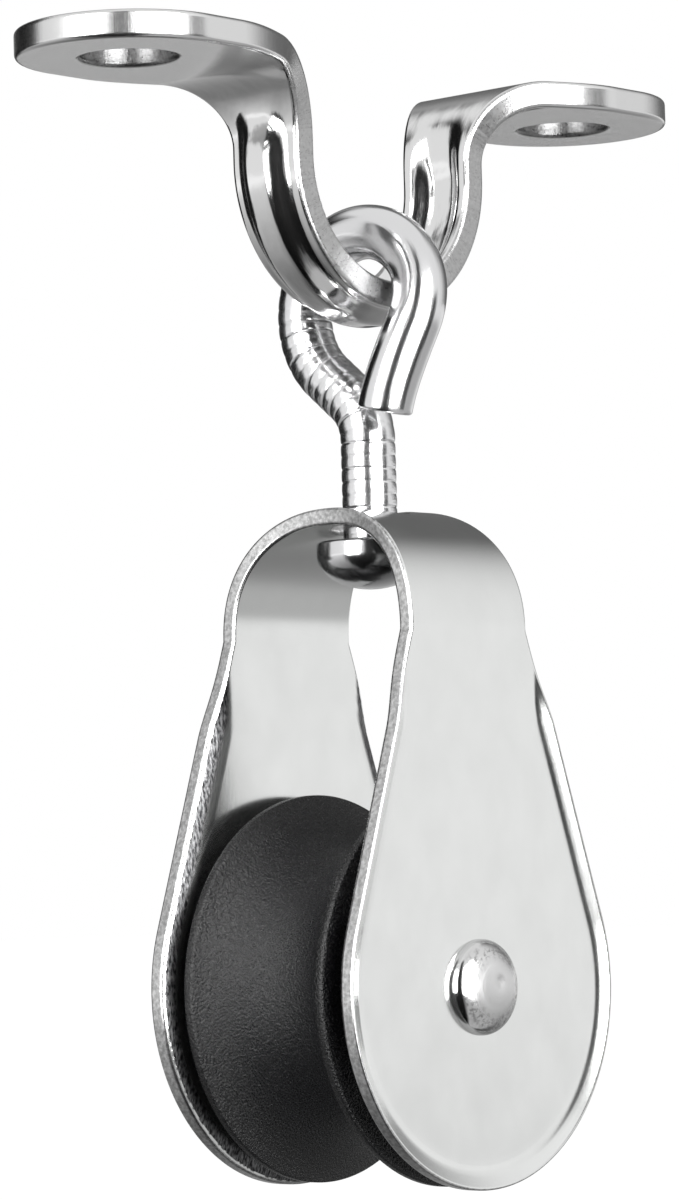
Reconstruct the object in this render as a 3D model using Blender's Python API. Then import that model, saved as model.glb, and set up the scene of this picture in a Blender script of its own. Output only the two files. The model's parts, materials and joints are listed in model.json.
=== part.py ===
"""Swivel block with a deck bracket: a small rope block that hangs from a pressed steel saddle.

Metres, +Z up. The origin lies on the mounting plane (the tops of the bracket's ears), midway
between the two screw holes. X runs along the bracket, and the sheave turns about Y.
"""

import math

import bmesh
import bpy
from mathutils import Matrix, Vector

MM = 0.001

# Running clearances
SEAT_GAP = 0.3 * MM
SLEEVE_GAP = 0.3 * MM

# Deck bracket: one strap of steel, bent to a U between two round ears
HOLE_SPACING = 60.0 * MM
SCREW_HOLE = 8.5 * MM
EAR_RADIUS = 10.0 * MM
STRAP_THICKNESS = 2.5 * MM
LEG_WIDTH = 8.0 * MM
U_INSIDE = 21.0 * MM
LEG_STRAIGHT = 1.3 * MM
EAR_BEND = 8.2 * MM
FULL_WIDTH_RUN = 4.0 * MM
RIB_DEPTH = 1.3 * MM
RIB_MARGIN = 0.9 * MM
RIB_FLANK = 2.1 * MM
RIB_RUN = 7.0 * MM
STRAP_ROUND = 0.45 * MM

# Swivel eye: one rod, bent to an open eye at the top and upset to a head at the bottom
WIRE = 5.0 * MM
EYE_SIDE_PLAY = 0.8 * MM
EYE_NECK_BEND = 5.0 * MM
EYE_NECK_ANGLE = math.radians(50)
EYE_FREE_ANGLE = math.radians(15)
EYE_FREE_LENGTH = 8.2 * MM
EYE_OFFSET = 3.2 * MM
SHANK_LENGTH = 9.3 * MM
HEAD_LAP = 1.3 * MM
HEAD_RIM = 1.2 * MM
HEAD_DOME = 3.2 * MM
EDGE_BREAK = 0.3 * MM

# Shell: one strip of sheet, bent over the crown, with two round cheeks
SHEET = 1.5 * MM
SHELL_INSIDE = 20.0 * MM
CROWN_HOLE_PLAY = 1.2 * MM
CROWN_WIDTH = 12.4 * MM
CROWN_POWER = 2.25
CROWN_SPREAD = 1.5
SHOULDER_WIDTH = 16.0 * MM
CHEEK_COVER = 0.25 * MM
CHEEK_DROP = 32.0 * MM
LIP_WIDTH = 1.6 * MM
LIP_RISE = 0.7 * MM
LIP_RUN = 9.0 * MM

# Sheave, sleeve and rivet
SHEAVE_RADIUS = 17.75 * MM
FLANGE_GAP = 1.7 * MM
SHEAVE_RIM = 0.9 * MM
GROOVE_DEPTH = 5.6 * MM
HUB_WALL = 2.2 * MM
HUB_GAP = 0.4 * MM
RIVET_SHANK = 6.0 * MM
SLEEVE_WALL = 1.2 * MM
RIVET_LAP = 1.3 * MM
RIVET_EDGE = 0.35 * MM
RIVET_DOME = 1.8 * MM
DIMPLE_DIAMETER = 1.6 * MM
DIMPLE_DEPTH = 0.35 * MM

# Fineness of the curves, and where the two that would close to a point stop short of it
U_STEPS = 14
BEND_STEPS = 10
EAR_STEPS = 8
TIP_STEPS = 16
TIP_ANGLE = math.radians(87)
STRAP_COLUMNS = 14
EYE_STEPS = 30
NECK_STEPS = 8
ROD_SIDES = 24
DOME_STEPS = 6
DOME_ANGLE = math.radians(86)
ARCH_STEPS = 24
SIDE_STEPS = 10
CHEEK_STEPS = 18
GROOVE_STEPS = 16
RIVET_STEPS = 9
CUTTER_SIDES = 48
SHARP_ANGLE = math.radians(35)

# Worked out from the sizes above
LEG_HALF = LEG_WIDTH / 2
BEND_MID = EAR_BEND - STRAP_THICKNESS / 2
BEND_LENGTH = BEND_MID * math.pi / 2
BEND_X = U_INSIDE / 2 + EAR_BEND
EAR_X = HOLE_SPACING / 2
U_DEPTH = EAR_BEND + LEG_STRAIGHT + U_INSIDE / 2
EYE_INSIDE = LEG_WIDTH + 2 * EYE_SIDE_PLAY
EYE_RADIUS = (EYE_INSIDE + WIRE) / 2


def eye_centre_height():
    """Height of the eye's centre when its inside rests on the two rounded edges of the strap."""
    reach = EYE_INSIDE / 2 - STRAP_ROUND - SEAT_GAP
    across = LEG_HALF - STRAP_ROUND
    return -U_DEPTH - STRAP_ROUND - math.sqrt(reach * reach - across * across)


EYE_Z = eye_centre_height()
SEAT_ANGLE = math.asin((LEG_HALF - STRAP_ROUND / 2) / (EYE_INSIDE / 2))
SWING_Z = EYE_Z + EYE_RADIUS * math.cos(SEAT_ANGLE)
NECK_STRAIGHT = (
    EYE_RADIUS * math.cos(EYE_NECK_ANGLE) - EYE_NECK_BEND * (1 - math.cos(EYE_NECK_ANGLE))
) / math.sin(EYE_NECK_ANGLE)
SHANK_TOP_Z = (
    EYE_Z
    - (EYE_RADIUS + EYE_NECK_BEND) * math.sin(EYE_NECK_ANGLE)
    - NECK_STRAIGHT * math.cos(EYE_NECK_ANGLE)
)
HEAD_TOP_Z = SHANK_TOP_Z - SHANK_LENGTH
CROWN_INNER = SHELL_INSIDE / 2
CROWN_MID = CROWN_INNER + SHEET / 2
CROWN_HOLE = WIRE + 2 * CROWN_HOLE_PLAY
HEAD_RADIUS = CROWN_HOLE / 2 + HEAD_LAP


def crown_inside(y):
    """Height of the crown's inside above the shoulders, at a distance from its middle."""
    share = 1 - (y / CROWN_INNER) ** CROWN_POWER
    return CROWN_INNER * share ** (1 / CROWN_POWER)


SHOULDER_Z = HEAD_TOP_Z + SEAT_GAP - crown_inside(HEAD_RADIUS)
AXLE_Z = SHOULDER_Z - CHEEK_DROP
FACE_Y = SHELL_INSIDE / 2 + SHEET
CHEEK_RADIUS = SHEAVE_RADIUS + CHEEK_COVER
SHEAVE_WIDTH = SHELL_INSIDE - 2 * FLANGE_GAP


def clear_scene():
    """Remove every object of the startup scene."""
    for obj in list(bpy.data.objects):
        bpy.data.objects.remove(obj, do_unlink=True)


def material(name, colour, roughness, metallic):
    """A Principled material with one colour (linear RGB), roughness and metallic value."""
    made = bpy.data.materials.new(name)
    made.use_nodes = True
    shader = made.node_tree.nodes["Principled BSDF"]
    shader.inputs["Base Color"].default_value = (*colour, 1.0)
    shader.inputs["Roughness"].default_value = roughness
    shader.inputs["Metallic"].default_value = metallic
    made.diffuse_color = (*colour, 1.0)
    return made


def add_object(name, mesh, surface, origin=(0, 0, 0)):
    """Link a mesh as an object whose origin is a given world point."""
    mesh.transform(Matrix.Translation(-Vector(origin)))
    mesh.shade_smooth()
    mesh.set_sharp_from_angle(angle=SHARP_ANGLE)
    mesh.materials.append(surface)
    obj = bpy.data.objects.new(name, mesh)
    obj.location = origin
    bpy.context.scene.collection.objects.link(obj)
    return obj


def mesh_from(name, points, faces):
    """A mesh from points and faces, with its normals made to point outwards."""
    mesh = bpy.data.meshes.new(name)
    mesh.from_pydata(points, [], faces)
    shape = bmesh.new()
    shape.from_mesh(mesh)
    bmesh.ops.recalc_face_normals(shape, faces=shape.faces)
    shape.to_mesh(mesh)
    shape.free()
    return mesh


def loft(name, sections):
    """A closed solid through rings of equal length, with a flat face on each end."""
    count = len(sections[0])
    points = [point for section in sections for point in section]
    faces = []
    for i in range(len(sections) - 1):
        for j in range(count):
            k = (j + 1) % count
            low, high = i * count, (i + 1) * count
            faces.append((low + j, low + k, high + k, high + j))
    faces.append(tuple(reversed(range(count))))
    faces.append(tuple(range((len(sections) - 1) * count, len(sections) * count)))
    return mesh_from(name, points, faces)


def turned(name, profile, steps, centre):
    """Spin a closed (radius, y) outline about the line along Y through the centre.

    A stretch of the outline that lies on that line gets no edge, because it sweeps no surface.
    """
    shape = bmesh.new()
    verts = [shape.verts.new((radius, y, 0)) for radius, y in profile]
    edges = [
        shape.edges.new((verts[i - 1], verts[i]))
        for i in range(len(verts))
        if profile[i - 1][0] + profile[i][0] > 0
    ]
    bmesh.ops.spin(
        shape,
        geom=verts + edges,
        axis=(0, 1, 0),
        cent=(0, 0, 0),
        steps=steps,
        angle=2 * math.pi,
        use_merge=True,
    )
    bmesh.ops.remove_doubles(shape, verts=shape.verts, dist=0.000001)
    bmesh.ops.recalc_face_normals(shape, faces=shape.faces)
    mesh = bpy.data.meshes.new(name)
    shape.to_mesh(mesh)
    shape.free()
    mesh.transform(Matrix.Translation(centre))
    return mesh


def cylinder_cutter(name, radius, length, centre, along):
    """A round cutter along a unit vector, left out of renders."""
    shape = bmesh.new()
    bmesh.ops.create_cone(
        shape,
        cap_ends=True,
        segments=CUTTER_SIDES,
        radius1=radius,
        radius2=radius,
        depth=length,
    )
    mesh = bpy.data.meshes.new(name)
    shape.to_mesh(mesh)
    shape.free()
    turn = Vector((0, 0, 1)).rotation_difference(Vector(along)).to_matrix().to_4x4()
    mesh.transform(Matrix.Translation(centre) @ turn)
    cutter = bpy.data.objects.new(name, mesh)
    cutter.hide_render = True
    cutter.display_type = "WIRE"
    bpy.context.scene.collection.objects.link(cutter)
    return cutter


def cut(obj, cutter):
    """Subtract a cutter, which then follows the object it cuts."""
    modifier = obj.modifiers.new(cutter.name, "BOOLEAN")
    modifier.operation = "DIFFERENCE"
    modifier.object = cutter
    cutter.parent = obj
    cutter.matrix_parent_inverse = Matrix.Translation(-obj.location)


def smooth_step(value):
    """0 below 0, 1 above 1, and an S-curve between them."""
    value = min(max(value, 0.0), 1.0)
    return value * value * (3 - 2 * value)


def strap_stations():
    """Half of the strap's centre line, from the U's lowest point to the tip of the ear.

    Each station is (x, z, normal x, normal z, distance along). The normal points to the side
    of the strap that is the ear's top and the U's inside.
    """
    half = STRAP_THICKNESS / 2
    u_radius = U_INSIDE / 2 + half
    u_centre = -U_DEPTH + U_INSIDE / 2
    stations = []
    for i in range(U_STEPS + 1):
        angle = math.pi / 2 * i / U_STEPS
        x, z = u_radius * math.sin(angle), u_centre - u_radius * math.cos(angle)
        stations.append((x, z, -math.sin(angle), math.cos(angle), u_radius * angle))
    along = u_radius * math.pi / 2 + (-EAR_BEND - u_centre)
    for i in range(BEND_STEPS + 1):
        angle = math.pi / 2 * i / BEND_STEPS
        x = BEND_X - BEND_MID * math.cos(angle)
        z = -EAR_BEND + BEND_MID * math.sin(angle)
        stations.append((x, z, -math.cos(angle), math.sin(angle), along + BEND_MID * angle))
    along += BEND_LENGTH
    for i in range(1, EAR_STEPS + 1):
        x = BEND_X + (EAR_X - BEND_X) * i / EAR_STEPS
        stations.append((x, -half, 0.0, 1.0, along + x - BEND_X))
    for i in range(1, TIP_STEPS + 1):
        x = EAR_X + EAR_RADIUS * math.sin(TIP_ANGLE * i / TIP_STEPS)
        stations.append((x, -half, 0.0, 1.0, along + x - BEND_X))
    return stations, along


def strap_half_width(x, along, bend_end):
    """Half-width: round at the ear's end, full at the hole, and necked down to the leg."""
    if x > EAR_X:
        return math.sqrt(max(EAR_RADIUS**2 - (x - EAR_X) ** 2, 0.0))
    neck_start = bend_end - BEND_LENGTH
    neck_end = bend_end + EAR_X - FULL_WIDTH_RUN - BEND_X
    share = smooth_step((along - neck_start) / (neck_end - neck_start))
    return LEG_HALF + (EAR_RADIUS - LEG_HALF) * share


def deck_bracket(surface):
    """The strap: a section with a pressed rib, lofted round the U, the bends and the ears."""
    stations, bend_end = strap_stations()
    rib_end = bend_end - BEND_LENGTH / 2
    rings = []
    for x, z, nx, nz, along in stations:
        half_width = strap_half_width(x, along, bend_end)
        depth = RIB_DEPTH * smooth_step((rib_end - along) / RIB_RUN)
        ring = []
        for side in (1, -1):
            for j in range(STRAP_COLUMNS + 1):
                y = half_width * -side * math.cos(math.pi * j / STRAP_COLUMNS)
                sink = depth * smooth_step((LEG_HALF - RIB_MARGIN - abs(y)) / RIB_FLANK)
                offset = side * STRAP_THICKNESS / 2 - sink
                ring.append((x + nx * offset, y, z + nz * offset))
        rings.append(ring)
    mirrored = [[(-x, y, z) for x, y, z in ring] for ring in reversed(rings[1:])]
    mesh = loft("deck_bracket", mirrored + rings)
    bracket = add_object("deck_bracket", mesh, surface)
    for name, side in (("left", -1), ("right", 1)):
        centre = (side * EAR_X, 0, -STRAP_THICKNESS / 2)
        cutter = cylinder_cutter(
            f"screw_hole_{name}", SCREW_HOLE / 2, 4 * STRAP_THICKNESS, centre, (0, 0, 1)
        )
        cut(bracket, cutter)
    bevel = bracket.modifiers.new("rounded_edges", "BEVEL")
    bevel.width = STRAP_ROUND
    bevel.segments = 2
    bevel.limit_method = "ANGLE"
    bevel.angle_limit = math.radians(50)
    return bracket


def eye_path():
    """Centre line of the rod, from its free end round the eye and down the shank.

    Seen along X: a straight free leg, an arc over the top, a straight slope back to the axis
    and a bend into the shank. Where it rests on the strap the eye is flat, and from there on
    the free leg leans forwards to pass beside the neck.
    """
    points = []
    free, neck = EYE_FREE_ANGLE, EYE_NECK_ANGLE
    foot_y = -EYE_RADIUS * math.cos(free) + EYE_FREE_LENGTH * math.sin(free)
    foot_z = EYE_Z - EYE_RADIUS * math.sin(free) - EYE_FREE_LENGTH * math.cos(free)
    points.append((foot_y, foot_z))
    points.append(
        (
            foot_y - EYE_FREE_LENGTH * math.sin(free) / 2,
            foot_z + EYE_FREE_LENGTH * math.cos(free) / 2,
        )
    )
    for i in range(EYE_STEPS + 1):
        angle = math.pi + free - (math.pi + free + neck) * i / EYE_STEPS
        points.append((EYE_RADIUS * math.cos(angle), EYE_Z + EYE_RADIUS * math.sin(angle)))
    for i in range(NECK_STEPS + 1):
        angle = neck * (1 - i / NECK_STEPS)
        y = EYE_NECK_BEND * (1 - math.cos(angle))
        z = SHANK_TOP_Z + EYE_NECK_BEND * math.sin(angle)
        points.append((y, z))
    total = 0.0
    lengths = [0.0]
    for (y0, z0), (y1, z1) in zip(points, points[1:]):
        total += math.hypot(y1 - y0, z1 - z0)
        lengths.append(total)
    seated = math.pi / 2 + SEAT_ANGLE
    drift_end = lengths[2] + EYE_RADIUS * (math.pi + free - seated)
    path = []
    for (y, z), length in zip(points, lengths):
        share = smooth_step(1 - length / drift_end)
        path.append(Vector((-EYE_OFFSET * share, y, z)))
    return path


def swivel_eye(surface):
    """The rod swept along its path; below the shank its radius opens into the head."""
    path = eye_path()
    radii = [WIRE / 2] * len(path)
    path.insert(0, path[0] + (path[0] - path[1]).normalized() * EDGE_BREAK)
    radii.insert(0, WIRE / 2 - EDGE_BREAK)
    down = Vector((0, 0, -1))
    foot = path[-1] + down * SHANK_LENGTH
    head = head_profile()
    for drop, radius in head:
        path.append(foot + down * drop)
        radii.append(radius)
    rings = []
    normal = Vector((1, 0, 0))
    for i, centre in enumerate(path):
        before, after = path[max(i - 1, 0)], path[min(i + 1, len(path) - 1)]
        if i >= len(path) - len(head):
            tangent = down
        else:
            tangent = (after - before).normalized()
        normal = (normal - tangent * normal.dot(tangent)).normalized()
        across = tangent.cross(normal)
        ring = []
        for j in range(ROD_SIDES):
            angle = 2 * math.pi * j / ROD_SIDES
            ring.append(centre + (normal * math.cos(angle) + across * math.sin(angle)) * radii[i])
        rings.append(ring)
    mesh = loft("swivel_eye", rings)
    return add_object("swivel_eye", mesh, surface, (0, 0, SWING_Z))


def head_profile():
    """(drop, radius) pairs: the shank's end, the head's flat top, its rim and its dome."""
    profile = [(0.0, WIRE / 2), (0.0, HEAD_RADIUS - EDGE_BREAK), (EDGE_BREAK, HEAD_RADIUS)]
    for i in range(DOME_STEPS + 1):
        angle = DOME_ANGLE * i / DOME_STEPS
        drop = HEAD_RIM + HEAD_DOME * math.sin(angle)
        profile.append((drop, HEAD_RADIUS * math.cos(angle)))
    return profile


def cheek_outline():
    """One cheek's outline as (x, distance below the shoulder), from shoulder to shoulder.

    A straight side runs down from the shoulder and meets the round end as a tangent.
    """
    shoulder = SHOULDER_WIDTH / 2
    reach = math.hypot(shoulder, CHEEK_DROP)
    lean = math.asin(CHEEK_RADIUS / reach) - math.atan2(shoulder, CHEEK_DROP)
    touch_x = CHEEK_RADIUS * math.cos(lean)
    touch_drop = CHEEK_DROP - CHEEK_RADIUS * math.sin(lean)
    side = []
    for i in range(SIDE_STEPS):
        share = i / SIDE_STEPS
        x = shoulder + (touch_x - shoulder) * share
        side.append((x, touch_drop * share))
    for i in range(CHEEK_STEPS):
        angle = lean - (math.pi / 2 + lean) * i / CHEEK_STEPS
        x, rise = CHEEK_RADIUS * math.cos(angle), CHEEK_RADIUS * math.sin(angle)
        side.append((x, CHEEK_DROP - rise))
    bottom = [(0.0, CHEEK_DROP + CHEEK_RADIUS)]
    return side + bottom + [(-x, drop) for x, drop in reversed(side)]


def inset_outline(outline):
    """The bend line of the lip: the outline moved inwards, less and less towards the shoulders."""
    inner = []
    last = len(outline) - 1
    for i, (x, drop) in enumerate(outline):
        if i in (0, last):
            inner.append((x, drop))
            continue
        before, after = outline[i - 1], outline[i + 1]
        dx, dd = after[0] - before[0], after[1] - before[1]
        length = math.hypot(dx, dd)
        width = LIP_WIDTH * smooth_step(drop / LIP_RUN)
        inner.append((x - width * dd / length, drop + width * dx / length))
    return inner


def block_shell(surface):
    """The shell's middle surface, folded over the crown, then given the sheet's thickness.

    The crown is a little squarer than a half circle: |y|^p + |z|^p is the same all round it.
    """
    shape = bmesh.new()
    outline = cheek_outline()
    inner = inset_outline(outline)
    last = len(outline) - 1
    rows = []
    for i in range(ARCH_STEPS + 1):
        angle = math.pi * i / ARCH_STEPS
        across, up = abs(math.cos(angle)), abs(math.sin(angle))
        half = (CROWN_WIDTH + (SHOULDER_WIDTH - CROWN_WIDTH) * across**CROWN_SPREAD) / 2
        y = math.copysign(CROWN_MID * across ** (2 / CROWN_POWER), -math.cos(angle))
        z = SHOULDER_Z + CROWN_MID * up ** (2 / CROWN_POWER)
        rows.append([shape.verts.new((half, y, z)), shape.verts.new((-half, y, z))])
    for low, high in zip(rows, rows[1:]):
        shape.faces.new((low[0], low[1], high[1], high[0]))
    for row, side in ((rows[0], -1), (rows[-1], 1)):
        rim, bend = [row[0]], [row[0]]
        for i in range(1, last):
            (x, drop), (bend_x, bend_drop) = outline[i], inner[i]
            rise = LIP_RISE * smooth_step(drop / LIP_RUN)
            rim.append(shape.verts.new((x, side * (CROWN_MID + rise), SHOULDER_Z - drop)))
            bend.append(shape.verts.new((bend_x, side * CROWN_MID, SHOULDER_Z - bend_drop)))
        rim.append(row[1])
        bend.append(row[1])
        for i in range(last):
            corners = dict.fromkeys((rim[i], rim[i + 1], bend[i + 1], bend[i]))
            shape.faces.new(list(corners))
        shape.faces.new(bend)
    bmesh.ops.recalc_face_normals(shape, faces=shape.faces)
    mesh = bpy.data.meshes.new("block_shell")
    shape.to_mesh(mesh)
    shape.free()
    shell = add_object("block_shell", mesh, surface, (0, 0, AXLE_Z))
    solidify = shell.modifiers.new("sheet", "SOLIDIFY")
    solidify.thickness = SHEET
    solidify.offset = 0
    solidify.use_even_offset = True
    top = (0, 0, SHOULDER_Z + CROWN_MID)
    cut(shell, cylinder_cutter("crown_hole", CROWN_HOLE / 2, 6 * SHEET, top, (0, 0, 1)))
    axle = (0, 0, AXLE_Z)
    radius = RIVET_SHANK / 2 + SEAT_GAP
    cut(shell, cylinder_cutter("axle_hole", radius, 2 * SHELL_INSIDE, axle, (0, 1, 0)))
    return shell


def sleeve_radii():
    """Inner and outer radius of the sleeve, which slides over the rivet's shank."""
    inner = RIVET_SHANK / 2 + SLEEVE_GAP
    return inner, inner + SLEEVE_WALL


def sheave(surface):
    """The wheel: two thin flanges, a round groove between them and a longer hub."""
    half, hub = SHEAVE_WIDTH / 2, SHELL_INSIDE / 2 - HUB_GAP
    bore = sleeve_radii()[1] + SLEEVE_GAP
    mouth = half - SHEAVE_RIM
    groove = (mouth * mouth + GROOVE_DEPTH * GROOVE_DEPTH) / (2 * GROOVE_DEPTH)
    sweep = math.asin(mouth / groove)
    rim_round = SHEAVE_RIM / 3
    hub_radius = bore + HUB_WALL
    side = [(hub_radius, hub), (hub_radius, half)]
    side += [(SHEAVE_RADIUS - rim_round, half), (SHEAVE_RADIUS, half - rim_round)]
    centre = SHEAVE_RADIUS - GROOVE_DEPTH + groove
    profile = [(bore, -hub), (bore, hub)] + side
    for i in range(GROOVE_STEPS + 1):
        angle = sweep * (1 - 2 * i / GROOVE_STEPS)
        profile.append((centre - groove * math.cos(angle), groove * math.sin(angle)))
    profile += [(radius, -y) for radius, y in reversed(side)]
    mesh = turned("sheave", profile, 72, (0, 0, AXLE_Z))
    return add_object("sheave", mesh, surface, (0, 0, AXLE_Z))


def axle_sleeve(surface):
    """The tube that the sheave runs on; it keeps the rivet from pinching the cheeks together."""
    inner, outer = sleeve_radii()
    half = SHELL_INSIDE / 2 - SEAT_GAP
    profile = [(inner, -half), (inner, half), (outer, half), (outer, -half)]
    mesh = turned("axle_sleeve", profile, 48, (0, 0, AXLE_Z))
    return add_object("axle_sleeve", mesh, surface, (0, 0, AXLE_Z))


def axle_rivet(surface):
    """The rivet: a plain shank with a low dome formed over each cheek, dimpled in the middle."""
    seat = FACE_Y + SEAT_GAP
    head = RIVET_SHANK / 2 + RIVET_LAP
    dimple = DIMPLE_DIAMETER / 2
    side = [(RIVET_SHANK / 2, seat), (head, seat), (head, seat + RIVET_EDGE)]
    for i in range(1, RIVET_STEPS + 1):
        radius = head * (1 - i / RIVET_STEPS)
        share = math.sqrt(1 - (radius / head) ** 2)
        bulge = RIVET_EDGE + (RIVET_DOME - RIVET_EDGE) * share
        dip = DIMPLE_DEPTH * max(0.0, 1 - (radius / dimple) ** 2)
        side.append((radius, seat + bulge - dip))
    profile = side + [(radius, -y) for radius, y in reversed(side)]
    mesh = turned("axle_rivet", profile, 40, (0, 0, AXLE_Z))
    return add_object("axle_rivet", mesh, surface, (0, 0, AXLE_Z))


def main():
    """Build the six pieces."""
    clear_scene()
    polished = material("polished_stainless_steel", (0.62, 0.61, 0.59), 0.12, 1.0)
    satin = material("satin_stainless_sheet", (0.66, 0.66, 0.65), 0.25, 1.0)
    turned_steel = material("turned_stainless_steel", (0.6, 0.59, 0.57), 0.22, 1.0)
    tube = material("drawn_stainless_tube", (0.58, 0.57, 0.55), 0.3, 1.0)
    riveted = material("riveted_stainless_steel", (0.55, 0.55, 0.53), 0.2, 1.0)
    nylon = material("black_moulded_nylon", (0.012, 0.012, 0.013), 0.5, 0.0)
    deck_bracket(polished)
    swivel_eye(turned_steel)
    block_shell(satin)
    sheave(nylon)
    axle_sleeve(tube)
    axle_rivet(riveted)


main()
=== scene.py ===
# %% [markdown]
# # A small rope block on a deck bracket
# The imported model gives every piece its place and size. Each cell below makes one piece or one
# finish: polished and satin stainless steel, a formed rod and a black moulded wheel.

# %% Load the model
import json
import math

import bmesh
import bpy
import numpy as np
from mathutils import Matrix, Vector


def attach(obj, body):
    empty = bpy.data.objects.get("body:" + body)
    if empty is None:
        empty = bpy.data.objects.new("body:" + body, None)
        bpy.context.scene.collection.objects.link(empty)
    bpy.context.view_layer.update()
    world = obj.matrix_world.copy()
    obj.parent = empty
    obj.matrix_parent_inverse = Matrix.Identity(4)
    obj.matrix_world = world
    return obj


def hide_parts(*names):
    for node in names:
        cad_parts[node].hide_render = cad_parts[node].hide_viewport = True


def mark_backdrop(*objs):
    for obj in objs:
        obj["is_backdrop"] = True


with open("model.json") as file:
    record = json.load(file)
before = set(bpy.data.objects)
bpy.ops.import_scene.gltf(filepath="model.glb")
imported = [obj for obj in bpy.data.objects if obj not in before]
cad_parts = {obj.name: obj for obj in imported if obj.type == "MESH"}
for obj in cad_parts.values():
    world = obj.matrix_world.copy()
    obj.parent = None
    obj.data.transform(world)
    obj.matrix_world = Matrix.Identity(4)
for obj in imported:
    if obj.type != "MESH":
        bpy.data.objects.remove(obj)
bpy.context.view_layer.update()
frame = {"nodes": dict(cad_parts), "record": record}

# %% [markdown]
# ## Sizes
# The part was drawn in millimetres from a few sizes, and the surfaces below need the same ones.
# They are written here once, in metres.

# %% Sizes of the real pieces
MM = 0.001
STRAP = dict(thickness=2.5 * MM, leg_half=4.0 * MM, u_inside=21.0 * MM, leg_straight=1.3 * MM,
             ear_bend=8.2 * MM, full_width=4.0 * MM, ear_radius=9.97 * MM, hole_x=30.0 * MM,
             hole_radius=4.25 * MM, edge=0.45 * MM, ear_patch=9.5 * MM)
RIB = dict(depth=1.3 * MM, margin=0.9 * MM, flank=2.1 * MM, run=7.0 * MM)
ROD = dict(radius=2.5 * MM, inside=9.6 * MM, neck_bend=5.0 * MM, neck=math.radians(50),
           free=math.radians(15), free_length=8.2 * MM, offset=3.2 * MM, shank=9.3 * MM,
           head_radius=5.0 * MM, head_rim=1.2 * MM, head_dome=3.2 * MM, edge=0.3 * MM,
           head_fillet=0.25 * MM)
JAWS = dict(pitch=1.2 * MM, width=0.1 * MM, depth=0.1 * MM, lean=0.05 * MM, swell=0.012 * MM,
            run_in=2.0 * MM, run_out=0.5 * MM, top=0.35, side=0.6)
SHEET = dict(thickness=1.5 * MM, inside=20.0 * MM, crown=12.4 * MM, shoulder=16.0 * MM,
             cheek_radius=18.0 * MM, cheek_drop=32.0 * MM, crown_hole=3.7 * MM,
             axle_hole=3.3 * MM, edge=0.3 * MM, power=2.25, spread=1.5)
# LIP's dull and dull_fade size the band inside the lip that is made duller and painted dark, a
# painted reflection of the black wheel.
LIP = dict(width=1.6 * MM, rise=0.7 * MM, run=9.0 * MM, crease=0.12 * MM, dull=0.2 * MM,
           dull_fade=0.35 * MM)
WHEEL = dict(radius=17.75 * MM, half_width=8.3 * MM, rim=0.9 * MM, depth=5.6 * MM,
             bore=4.8 * MM, hub_radius=7.0 * MM, hub_half=9.6 * MM, fillet=0.3 * MM,
             bore_bevel=0.2 * MM, rub_from=1.5 * MM, rub_run=3.5 * MM)
RIVET = dict(shank=3.0 * MM, head=4.3 * MM, dome=1.76 * MM, squareness=0.9, sink=0.02 * MM)
DIMPLE = dict(x=0.35 * MM, z=0.45 * MM, depth=0.16 * MM, size=0.55 * MM)
SEAT_GAP = 0.3 * MM

SHOULDER_Z = -52.2646 * MM
AXLE_Z = SHOULDER_Z - SHEET["cheek_drop"]
FACE_Y = SHEET["inside"] / 2 + SHEET["thickness"]
U_BOTTOM = -(STRAP["ear_bend"] + STRAP["leg_straight"] + STRAP["u_inside"] / 2)
print(f"axle at z = {AXLE_Z / MM:.2f} mm, strap's lowest inside at z = {U_BOTTOM / MM:.2f} mm")


# %% [markdown]
# ## Helpers
# A surface is a grid of points worked out as one numpy array. `sew` turns several grids into
# one mesh and merges the points they share, which closes seams and poles. A second array can
# carry pattern coordinates, so that a finish can follow the metal round a bend.

# %% From grids of points to one closed mesh
def ease(value):
    """0 below 0, 1 above 1, and 3v^2 - 2v^3 between them."""
    value = np.clip(value, 0.0, 1.0)
    return value * value * (3 - 2 * value)


def between(value, first, run_in, last, run_out):
    """1 between two values, rising inside the first and falling before the last."""
    return ease((value - first) / run_in) * ease((last - value) / run_out)


def quads(rows, columns, start=0):
    """Faces of a grid of points: each joins four neighbours."""
    index = start + np.arange(rows * columns).reshape(rows, columns)
    corners = (index[:-1, :-1], index[:-1, 1:], index[1:, 1:], index[1:, :-1])
    return np.stack(corners, -1).reshape(-1, 4)


def sew(name, grids, patterns):
    """One closed mesh from grids of points (rows, columns, 3).

    Points closer than half a micrometre are merged, and the normals are made to point
    outwards. The pattern grids hold millimetres.
    """
    points, marks, faces, start = [], [], [], 0
    for grid, pattern in zip(grids, patterns):
        faces.append(quads(*grid.shape[:2], start))
        points.append(grid.reshape(-1, 3))
        marks.append(pattern.reshape(-1, 3))
        start += len(points[-1])
    mesh = bpy.data.meshes.new(name)
    mesh.from_pydata(np.concatenate(points), [], np.concatenate(faces).tolist())
    layer = mesh.attributes.new("pattern", "FLOAT_VECTOR", "POINT")
    layer.data.foreach_set("vector", np.concatenate(marks).astype(np.float32).ravel())
    shape = bmesh.new()
    shape.from_mesh(mesh)
    bmesh.ops.remove_doubles(shape, verts=shape.verts, dist=0.0000005)
    bmesh.ops.recalc_face_normals(shape, faces=shape.faces)
    shape.to_mesh(mesh)
    shape.free()
    mesh.shade_smooth()
    return mesh


def show(name, data):
    """A new object in the scene from a mesh, a lamp or a camera."""
    piece = bpy.data.objects.new(name, data)
    bpy.context.scene.collection.objects.link(piece)
    return piece


def put(name, mesh, finish, node):
    """Show a mesh as a piece that stands for a CAD node and moves with its body."""
    mesh.set_sharp_from_angle(angle=math.radians(40))
    mesh.materials.append(finish)
    piece = show(name, mesh)
    bodies = frame["record"]["behaviour"]["bodies"]
    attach(piece, next(body for body, nodes in bodies.items() if node in nodes))
    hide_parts(node)
    low, high = mesh_box(mesh)
    print(f"{name}: {len(mesh.polygons)} faces, {np.round((high - low) / MM, 1)} mm")
    return piece


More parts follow.
